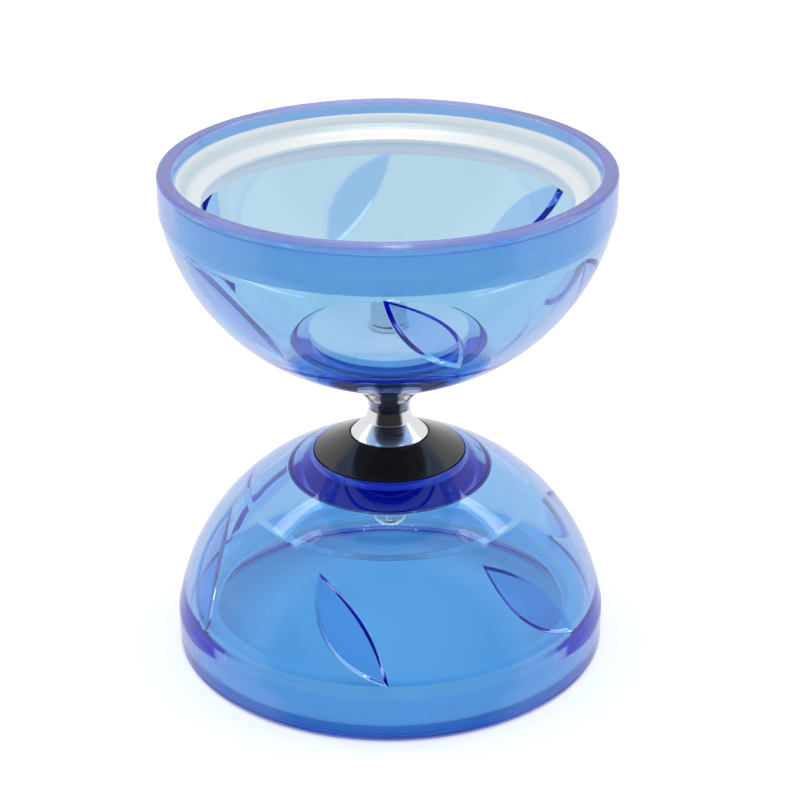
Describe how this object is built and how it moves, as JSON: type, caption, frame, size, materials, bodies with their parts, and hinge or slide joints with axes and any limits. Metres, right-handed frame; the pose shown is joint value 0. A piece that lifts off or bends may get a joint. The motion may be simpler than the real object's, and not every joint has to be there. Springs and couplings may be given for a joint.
{
  "type": "diabolo",
  "caption": "Free-spinning diabolo: two clear domed cups with moulded leaves and white rim rings on one axle, with a bearing spool between them for the string.",
  "frame": {"origin": "centre of the lower rim's plane, on the axle's axis", "axes": "+Z along the axle, towards the upper cup; +Y away from the viewer of the picture, +X to their right"},
  "size_m": [0.125, 0.125, 0.144],
  "materials": {
    "clear_blue": "clear tinted polycarbonate, moulded gloss",
    "white_plastic": "smooth white moulding",
    "black_plastic": "gloss black moulding",
    "chrome": "polished and turned",
    "steel": "zinc plated",
    "bearing_steel": "ground bearing steel",
    "cage_brass": "pressed cage"
  },
  "bodies": {
    "cups": {"upper_cup": "clear_blue", "upper_white_ring": "white_plastic", "upper_hub_plate": "white_plastic", "upper_black_cone": "black_plastic", "upper_lock_washer": "steel", "upper_cap_nut": "steel", "upper_inner_spacer": "steel", "upper_end_spacer": "steel", "lower_cup": "clear_blue", "lower_white_ring": "white_plastic", "lower_hub_plate": "white_plastic", "lower_black_cone": "black_plastic", "lower_lock_washer": "steel", "lower_cap_nut": "steel", "lower_inner_spacer": "steel", "lower_end_spacer": "steel", "lower_bearing_inner_race": "bearing_steel", "middle_bearing_inner_race": "bearing_steel", "upper_bearing_inner_race": "bearing_steel", "axle": "steel"},
    "spool": {"upper_string_cone": "chrome", "upper_outer_spacer": "steel", "lower_string_cone": "chrome", "lower_outer_spacer": "steel", "lower_bearing_outer_race": "bearing_steel", "lower_bearing_upper_shield": "bearing_steel", "lower_bearing_lower_shield": "bearing_steel", "middle_bearing_outer_race": "bearing_steel", "middle_bearing_upper_shield": "bearing_steel", "middle_bearing_lower_shield": "bearing_steel", "upper_bearing_outer_race": "bearing_steel", "upper_bearing_upper_shield": "bearing_steel", "upper_bearing_lower_shield": "bearing_steel"},
    "ball_cages": {"lower_bearing_ball_cage": "cage_brass", "middle_bearing_ball_cage": "cage_brass", "upper_bearing_ball_cage": "cage_brass"}
  },
  "joints": [
    {"name": "spool_spin", "type": "hinge", "parent": "cups", "child": "spool", "pos_m": [0, 0, 0.072], "axis": [0, 0, 1], "continuous": true},
    {"name": "cages_spin", "type": "hinge", "parent": "cups", "child": "ball_cages", "pos_m": [0, 0, 0.072], "axis": [0, 0, 1], "continuous": true}
  ],
  "couplings": [
    {"joint": "cages_spin", "follows": "spool_spin", "ratio": 0.5625}
  ]
}
